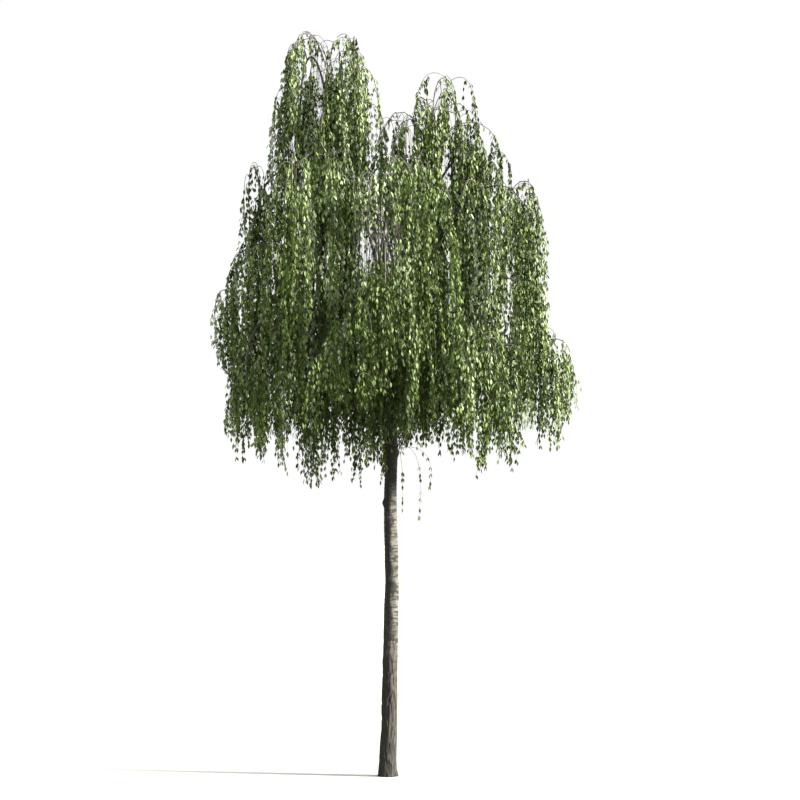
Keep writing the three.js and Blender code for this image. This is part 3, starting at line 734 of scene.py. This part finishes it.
def twig_handles(plan, kind, order, index, draw):
    """A twig that springs off a stem to one side, or to all sides in turn at a leader's top, and hangs"""
    share = lerp(*kind.roots, order) + ROOT_CHANCE * next(draw)
    turn = (-1 if index % 2 else 1) * lerp(*kind.turn, next(draw))
    if plan.all_round:
        turn = GOLDEN_TURN * (index + 1)
    spread = plan.size * lerp(*kind.spread, next(draw))
    root = stem_point(plan, share)
    end_height = lerp(plan.handles[-1][2], root[2], TWIG_SHORTENING * next(draw))
    heading = heading_of(plan.handles) + turn
    tip = root + spread * np.array((math.cos(heading), math.sin(heading), 0))
    return [root, tip + TWIG_LIFT * spread * UP, at_height(tip, end_height)]


def clear_of_gaps(points):
    """Which of some points are kept, as few are in the crown's gaps"""
    away = (points[:, None, ::2] - GAPS[:, :2]) / GAPS[:, 2:4]
    openness = (GAPS[:, 4] * np.exp(-(away ** 2).sum(-1) ** 2)).max(1)
    return rng.uniform(size=len(points)) > openness


def spaced_points(path, count, crowding=1):
    """A path's points, spaced anew along it, evenly or closer together at its root"""
    run = np.append(0, np.cumsum(np.linalg.norm(np.diff(path, axis=0), axis=1)))
    wanted = run[-1] * np.linspace(0, 1, count) ** crowding
    return np.stack([np.interp(wanted, run, path[:, axis]) for axis in range(3)], axis=1)


def drawn_in(points):
    """The points of a stem or twig, with less spread where it would stand outside the crown's edge"""
    offsets = points[:, 0] - points[0, 0]
    left, right = (side - points[0, 0] for side in edge_at(points[:, 2]))
    allowed = np.where(offsets > 0, np.maximum(right, 0), np.minimum(left, 0))
    beyond = np.abs(offsets) > np.abs(allowed)
    spread = (allowed[beyond] / offsets[beyond]).min(initial=1)
    return np.column_stack((points[0, 0] + spread * offsets, points[:, 1:]))


def rope_path(path, size):
    """A twig's path and the rope that hangs on from it, swaying a little, to the crown's edge or hem"""
    path = drawn_in(path)
    ahead = path[-1] - path[-2]
    ahead /= np.linalg.norm(ahead)
    falls = np.linspace(0, SPRAY_HANG * size * rng.uniform(*ROPE_HANG), TWIG_PACES)[1:, None]
    lean = np.append(rng.normal(0, ROPE_LEAN, 2), 0)
    drift = at_height(ahead, 0) * ROPE_BEND * (1 - np.exp(-falls / ROPE_BEND)) + lean * falls
    points = np.concatenate((path, path[-1] + drift - falls * UP))
    between = smoothstep(*TASSEL_EDGE, noise.noise(Vector((*points[-1, :2], 0)) / TASSEL_SIZE))
    lowest, tassel = (np.interp(points[-1, 0], HEM[:, 0], column) for column in HEM[:, 1:].T)
    lowest += HEM_RAGGEDNESS * rng.uniform() + tassel * between
    if abs(points[-1, 0] - HOLLOW.middle) < HOLLOW.half_width and points[-1, 1] < HOLLOW.front:
        lowest += HOLLOW.rise
    left, right = edge_at(points[:, 2])
    outside = (points[:, 0] < left - EDGE_SLACK) | (points[:, 0] > right + EDGE_SLACK)
    ended = outside | (points[:, 2] < lowest)
    ended[:len(path)] = False
    points = points[:ended.argmax()] if ended.any() else points
    hung = np.clip((np.arange(len(points)) - len(path) + 1) / (TWIG_PACES - 1), 0, 1)[:, None]
    sway = np.append(rng.normal(0, ROPE_SWAY, 2), 0)
    points = points + sway * hung * np.sin(2 * math.pi * (hung + rng.uniform()))
    return spaced_points(points, ROPE_POINTS, ROPE_CROWDING)


ropes = []
tops = [plan for plan in plans if plan.all_round]
stems = [(plan, (TWIGS, FINE_TWIGS), BARE_SHARE.clear) for plan in tops]
stems += [(plan, (TWIGS, FINE_TWIGS), BARE_SHARE.inner) for plan in boughs_planned]
stems += [(plan, (SIDE_TWIGS,), BARE_SHARE.inner) for plan in side_stems]
stems += [(plan, (SIDE_TWIGS,), BARE_SHARE.clear) for plan in clear_stems]
for number, (plan, kinds, bare) in enumerate(stems):
    draw = chance(number)
    plan.line = stem_line(plan)
    paths = [(stem_point(plan, np.linspace(0, 1, STEM_POINTS)), STEM_RADIUS)]
    wanted = [(kind, (index + 0.5) / kind.count) for kind in kinds for index in range(kind.count)]
    for index, (kind, order) in enumerate(wanted):
        path = bezier(twig_handles(plan, kind, order, index, draw), np.linspace(0, 1, TWIG_PACES + 1))
        if kind is TWIGS:
            outside = room_at(path[1:], plan) < TWIG_ROOM
            path = path[:outside.argmax() + 1] if outside.any() else path
        if len(path) > SHORTEST_TWIG * TWIG_PACES:
            paths.append((path, TWIG_RADIUS))
    for path, radius in paths:
        points = rope_path(path, plan.size)
        ropes.append(SimpleNamespace(points=points, radius=radius, size=plan.size, bare=bare))


def tubes(paths, radii, sides):
    """Places and faces of closed tubes along many paths of equally many points, as one joined mesh"""
    count, points = paths.shape[:2]
    ahead = np.gradient(paths, axis=1)
    ahead /= np.linalg.norm(ahead, axis=2)[..., None]
    side = np.cross(ahead, OBLIQUE)
    side /= np.linalg.norm(side, axis=2)[..., None]
    over = np.cross(ahead, side)
    angles = np.arange(sides) * 2 * math.pi / sides
    rounds = np.cos(angles)[:, None] * side[:, :, None] + np.sin(angles)[:, None] * over[:, :, None]
    places = paths[:, :, None] + radii[..., None, None] * rounds
    index = np.arange(count * points * sides).reshape(count, points, sides)
    onward = np.roll(index, -1, axis=2)
    low, low_next, top, top_next = index[:, :-1], onward[:, :-1], index[:, 1:], onward[:, 1:]
    walls = np.concatenate([
        np.stack((low, low_next, top_next), axis=-1).reshape(-1, 3),
        np.stack((low, top_next, top), axis=-1).reshape(-1, 3),
    ])
    fans = [index[:, -1, [0, i, i + 1]] for i in range(1, sides - 1)]
    fans += [index[:, 0, [0, i + 1, i]] for i in range(1, sides - 1)]
    return places.reshape(-1, 3), np.concatenate([walls, *fans])


masses = [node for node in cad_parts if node.endswith("_leaves")]


def joined_piece(name, places, faces, material):
    """A piece made at once from arrays of places and of triangles, in place of the masses of foliage"""
    mesh = bpy.data.meshes.new(name)
    mesh.vertices.add(len(places))
    mesh.vertices.foreach_set("co", places.astype(np.float32).ravel())
    mesh.loops.add(faces.size)
    mesh.loops.foreach_set("vertex_index", faces.astype(np.int32).ravel())
    mesh.polygons.add(len(faces))
    mesh.polygons.foreach_set("loop_start", np.arange(0, faces.size, 3, dtype=np.int32))
    mesh.update(calc_edges=True)
    mesh.materials.append(material)
    piece = bpy.data.objects.new(name, mesh)
    bpy.context.scene.collection.objects.link(piece)
    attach(piece, "root")
    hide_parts(*masses)


# Birch twig bark is thin and smooth, a dark grey-brown with a slight shine.
TWIG_BARK = "#221e1a"
twig_bark, tree, shader = new_material("birch_twig_bark")
feed(tree, shader, {"Base Color": linear(TWIG_BARK), "Roughness": 0.6, "Specular IOR Level": 0.4})

rope_paths = np.array([rope.points for rope in ropes])
rope_feet = np.array([rope.radius for rope in ropes])[:, None]
rope_tips = np.where(rope_feet > TWIG_RADIUS, STEM_TIP_RADIUS, TWIG_TIP_RADIUS)
rope_radii = lerp(rope_feet, rope_tips, np.linspace(0, 1, ROPE_POINTS))
joined_piece("hanging_twigs", *tubes(rope_paths, rope_radii, ROPE_SIDES), twig_bark)

# Shoots: the thin young growth that hangs round every rope along its whole fall and bears the leaves. A sprig
# of three longer ones breaks out of the bare trunk under the crown.
SHOOT_SPACING = 0.115
SHOOT_CHANCE = 0.4  # of the spacing, to either side
FEWEST_SHOOTS = 2
SHOOT_END = 0.88  # the share of a rope that bears shoots
SHOOT_SPREAD = (0.02, 0.1)
SHOOT_FALL = (0.25, 0.62)
SHOOT_LIFT = 0.4
SHOOT_RADIUS = 0.0016
SHOOT_TIP_RADIUS = 0.0007
SHOOT_POINTS = 4
SHOOT_SIDES = 3
SHOOT_ROOM = (-0.4, 0.0)  # how far past its rope's end a shoot may hang
SHORTEST_SHOOT = 0.1
SPRIG_SHOOTS = [  # heading in degrees, reach, rise and fall
    (-8, 0.5, 0.05, 0.5),
    (-30, 0.42, 0.04, 0.85),
    (-58, 0.26, 0.02, 0.82),
]
SPRIG_RADIUS = 0.0035
SPRIG_POINTS = 12


def hang_shoots(rope):
    """The thin shoots that hang round a rope, as three handles each"""
    run = np.append(0, np.cumsum(np.linalg.norm(np.diff(rope.points, axis=0), axis=1)))
    first, last = (share * run[-1] for share in (rope.bare, SHOOT_END))
    count = max(FEWEST_SHOOTS, round((last - first) / SHOOT_SPACING))
    chances = rng.uniform(-SHOOT_CHANCE, SHOOT_CHANCE, count)
    places = np.linspace(first, last, count) + chances * SHOOT_SPACING
    roots = np.stack([np.interp(places, run, rope.points[:, axis]) for axis in range(3)], axis=1)
    headings = rng.uniform(0, 2 * math.pi) + GOLDEN_TURN * np.arange(count)
    out = np.stack((np.cos(headings), np.sin(headings), np.zeros(count)), axis=1)
    spreads = rope.size * rng.uniform(*SHOOT_SPREAD, count)[:, None]
    room = roots[:, 2] - rope.points[-1, 2] + rng.uniform(*SHOOT_ROOM, count)
    falls = np.minimum(rope.size * rng.uniform(*SHOOT_FALL, count), np.maximum(room, SHORTEST_SHOOT))[:, None]
    tips = roots + spreads * out
    handles = np.stack((roots, tips + SHOOT_LIFT * spreads * UP, tips - falls * UP), axis=1)
    return handles[clear_of_gaps(tips - falls / 2 * UP)]


# The bark of young shoots is red-brown and smooth, with a slight shine.
SHOOT_BARK = "#261e17"
shoot_bark, tree, shader = new_material("birch_shoot_bark")
feed(tree, shader, {"Base Color": linear(SHOOT_BARK), "Roughness": 0.55, "Specular IOR Level": 0.4})

shoot_groups = [hang_shoots(rope) for rope in ropes]
shoots = np.concatenate(shoot_groups)
shoot_shares = np.linspace(0, 1, SHOOT_POINTS)[:, None]
shoot_paths = np.moveaxis(bezier(np.moveaxis(shoots, 1, 0), shoot_shares), 0, 1)
shoot_radii = np.tile(np.linspace(SHOOT_RADIUS, SHOOT_TIP_RADIUS, SHOOT_POINTS), (len(shoots), 1))
for number, side in enumerate(("left", "right")):
    own = (shoots[:, 0, 0] > 0) == number
    joined_piece(f"{side}_shoots", *tubes(shoot_paths[own], shoot_radii[own], SHOOT_SIDES), shoot_bark)

sprig_root = trunk_centre(high(SPRIG.root))
sprig_paths = []
for heading, reach, rise, fall in SPRIG_SHOOTS:
    end = sprig_root + reach * heading_vector(heading) - fall * UP
    handles = arch(sprig_root, end, sprig_root[2] + rise)
    sprig_paths.append(spaced_points(bezier(handles, np.linspace(0, 1, STEM_POINTS)), SPRIG_POINTS))
sprig_paths = np.array(sprig_paths)
sprig_radii = np.tile(np.linspace(SPRIG_RADIUS, SHOOT_TIP_RADIUS, SPRIG_POINTS), (len(sprig_paths), 1))
joined_piece("trunk_sprig", *tubes(sprig_paths, sprig_radii, ROPE_SIDES), shoot_bark)

# Leaves: small pointed ovals that narrow to a stalk, in pairs along every shoot and rope and hanging at all
# angles. Each blade is folded a little along its midrib and droops at its tip. The leaves of a shoot share
# one tint.
LEAF_LENGTH = (0.058, 0.086)  # with its stalk
LEAF_WIDTH = 0.41  # as a share of its length
LEAF_SPACING = 0.075
LEAF_CHANCE = (0.3, 1)  # where a pair stands in its share of the shoot
FEWEST_PAIRS = 2
LEAF_DROOP = (0.05, 0.55)  # off straight down, in radians
LEAF_TURN = 0.5  # off straight across from the other leaf of its pair, in radians
LEAF_ROLL = 0.6
SPRIG_LEAF_SPACING = 0.11
BARE_SHOOT = 0.12  # the share of a shoot that bears no leaves
BARE_SPRIG = 0.4
LEAF_PLACES = np.array([  # across as a share of the width, along and lift as shares of the length
    (0, 0, 0), (-0.5, 0.45, 0.06), (-0.3, 0.75, 0.035), (0, 1, -0.02), (0.3, 0.75, 0.035), (0.5, 0.45, 0.06),
])
LEAF_FACES = np.array([(0, 2, 1), (0, 3, 2), (0, 4, 3), (0, 5, 4)])
ROPE_TONE = 1.2  # how far the ropes differ in tint, next to the shoots of one rope
# Painted shade and light on the foliage: ropes at the crown's lower middle and on its left are tinted darker,
# as if shaded, and a patch left of the middle lighter, as if lit.
PAINTED_LIGHT_AND_SHADE = np.array([  # middle across and up, half width, half height, and how much lighter the foliage is
    (0.1, 5.7, 1.1, 0.7, -1.6), (-0.95, 7.2, 0.25, 1.0, 1.2), (-1.5, 7.1, 0.45, 1.1, -1.6),
])
TINTS = [  # name, colour and share of the shoots
    ("deep", "#1f2c05", 0.25),
    ("full", "#304013", 0.25),
    ("mid", "#425125", 0.24),
    ("fresh", "#566341", 0.18),
    ("pale", "#6c785e", 0.08),
]


def leaf_nodes(paths, bare, spacing):
    """Where leaves stand along many paths of equally many points, and the number of the path of each"""
    lengths = np.linalg.norm(np.diff(paths, axis=1), axis=2).sum(1)
    counts = np.maximum(FEWEST_PAIRS, np.round(lengths * (1 - bare) / spacing)).astype(int)
    owners = np.repeat(np.arange(len(paths)), counts)
    order = np.arange(len(owners)) - np.repeat(np.cumsum(counts) - counts, counts)
    spot = (order + rng.uniform(*LEAF_CHANCE, len(owners))) / counts[owners]
    along = lerp(bare[owners], 1, spot) * (paths.shape[1] - 1)
    step = np.minimum(along.astype(int), paths.shape[1] - 2)
    return lerp(paths[owners, step], paths[owners, step + 1], (along - step)[:, None]), owners


def leaves_at(roots):
    """Places of the leaves that stand at an array of roots, each turned by chance"""
    count = len(roots)
    turns = np.repeat(rng.uniform(0, 2 * math.pi, (count + 1) // 2), 2)[:count]
    turns += np.where(np.arange(count) % 2, math.pi, 0) + rng.normal(0, LEAF_TURN, count)
    droops = rng.uniform(*LEAF_DROOP, count)[:, None]
    out = np.stack((np.cos(turns), np.sin(turns), np.zeros(count)), axis=1)
    along = out * np.sin(droops) - UP * np.cos(droops)
    level = out * np.cos(droops) + UP * np.sin(droops)
    rolls = rng.normal(0, LEAF_ROLL, count)[:, None]
    facing = level * np.cos(rolls) + np.cross(along, level) * np.sin(rolls)
    side = np.cross(along, facing)
    lengths = rng.uniform(*LEAF_LENGTH, count)[:, None, None]
    shape = LEAF_PLACES * (LEAF_WIDTH, 1, 1)
    turned = shape[:, :1] * side[:, None] + shape[:, 1:2] * along[:, None] + shape[:, 2:] * facing[:, None]
    return roots[:, None] + lengths * turned


# Each rope's tone is its chance plus the painted shade and light where it hangs
rope_away = (rope_paths.mean(1)[:, None, ::2] - PAINTED_LIGHT_AND_SHADE[:, :2]) / PAINTED_LIGHT_AND_SHADE[:, 2:4]
rope_tones = rng.normal(0, ROPE_TONE, len(ropes)) + np.exp(-(rope_away ** 2).sum(-1)) @ PAINTED_LIGHT_AND_SHADE[:, 4]
shoot_tones = np.repeat(rope_tones, [len(group) for group in shoot_groups]) + rng.normal(0, 1, len(shoots))
even_ropes = np.array([spaced_points(rope.points, ROPE_POINTS) for rope in ropes])
bearers = [
    (shoot_paths, np.full(len(shoots), BARE_SHOOT), LEAF_SPACING, shoot_tones),
    (even_ropes, np.array([rope.bare for rope in ropes]), LEAF_SPACING, rope_tones),
    (sprig_paths, np.full(len(sprig_paths), BARE_SPRIG), SPRIG_LEAF_SPACING, np.zeros(len(sprig_paths))),
]
roots, tones = [], []
for paths, bare, spacing, path_tones in bearers:
    nodes, owners = leaf_nodes(paths, bare, spacing)
    kept = clear_of_gaps(nodes)
    roots.append(np.repeat(nodes[kept], 2, axis=0))
    tones.append(np.repeat(path_tones[owners[kept]], 2))
blades = leaves_at(np.concatenate(roots))
tones = np.concatenate(tones)
steps = np.quantile(tones, np.cumsum([share for _, _, share in TINTS])[:-1])
tint_of = np.searchsorted(steps, tones)
for number, (name, colour, _) in enumerate(TINTS):
    # Birch leaves are thin and a little waxy, so they shine softly
    leaf_green, tree, shader = new_material(f"birch_leaf_{name}")
    feed(tree, shader, {"Base Color": linear(colour), "Roughness": 0.5, "Specular IOR Level": 0.1})
    own = blades[tint_of == number]
    starts = np.arange(len(own)) * len(LEAF_PLACES)
    faces = (starts[:, None, None] + LEAF_FACES).reshape(-1, 3)
    joined_piece(f"{name}_leaves", own.reshape(-1, 3), faces, leaf_green)

# Floor: a wide round sheet of plain matt paper under the tree, which isn't part of it. It is grey enough to
# show as a pale white under the lamps.
FLOOR_RADIUS = 400
FLOOR_SIDES = 96
FLOOR_DROP = 0.002
FLOOR_PAPER = "#7c7c7a"
bm = bmesh.new()
bmesh.ops.create_circle(bm, cap_ends=True, segments=FLOOR_SIDES, radius=FLOOR_RADIUS)
bmesh.ops.translate(bm, verts=bm.verts, vec=(0, 0, -FLOOR_DROP))
floor_mesh = bpy.data.meshes.new("floor")
bm.to_mesh(floor_mesh)
bm.free()
floor_paper, tree, shader = new_material("pale_paper")
feed(tree, shader, {"Base Color": linear(FLOOR_PAPER), "Roughness": 0.9, "Specular IOR Level": 0.1})
floor_mesh.materials.append(floor_paper)
floor = bpy.data.objects.new("floor", floor_mesh)
bpy.context.scene.collection.objects.link(floor)

# Light: a white room on all sides, a strong lamp that stands low on the right and a little to the front, and
# a large soft one high in front.
ROOM_LIGHT = 1.0
LAMPS = [  # name, strength, softness, heading and elevation in degrees, and colour
    ("low_lamp", 35.0, 6, -12, 24, "#fff8ee"),
    ("high_lamp", 7.0, 45, -80, 66, "#ffffff"),
]
room = bpy.data.worlds.new("white_room")
room.use_nodes = True
room.node_tree.nodes["Background"].inputs["Color"].default_value = (1, 1, 1, 1)
room.node_tree.nodes["Background"].inputs["Strength"].default_value = ROOM_LIGHT
bpy.context.scene.world = room
for name, strength, softness, heading, elevation, colour in LAMPS:
    lamp_data = bpy.data.lights.new(name, "SUN")
    lamp_data.energy = strength
    lamp_data.angle = math.radians(softness)
    lamp_data.color = linear(colour)[:3]
    lamp = bpy.data.objects.new(name, lamp_data)
    towards = Vector(heading_vector(heading)) * math.cos(math.radians(elevation))
    towards.z = math.sin(math.radians(elevation))
    lamp.rotation_euler = towards.to_track_quat("Z", "Y").to_euler()
    bpy.context.scene.collection.objects.link(lamp)
bpy.context.scene.view_settings.view_transform = "Standard"

# Camera: well back, at a third of the tree's height and tilted up a little, so that the tree fills the height
# of the image.
IMAGE_SIZE = 800
PIXEL = 0.01344  # what one pixel spans at the trunk
FOOT_PIXEL = (388, 773)
CAMERA_DISTANCE = 30
CAMERA_HEIGHT = 3.3
SENSOR = 36
FARTHEST = 1000  # that the camera sees
aim = Vector(((IMAGE_SIZE / 2 - FOOT_PIXEL[0]) * PIXEL, 0, (FOOT_PIXEL[1] - IMAGE_SIZE / 2) * PIXEL))
camera_data = bpy.data.cameras.new("camera")
camera = bpy.data.objects.new("camera", camera_data)
camera.location = (aim.x, -CAMERA_DISTANCE, CAMERA_HEIGHT)
line_of_sight = aim - camera.location
camera.rotation_euler = line_of_sight.to_track_quat("-Z", "Y").to_euler()
camera_data.sensor_width = SENSOR
camera_data.lens = SENSOR * line_of_sight.length / (IMAGE_SIZE * PIXEL)
camera_data.clip_end = FARTHEST
bpy.context.scene.collection.objects.link(camera)
bpy.context.scene.camera = camera
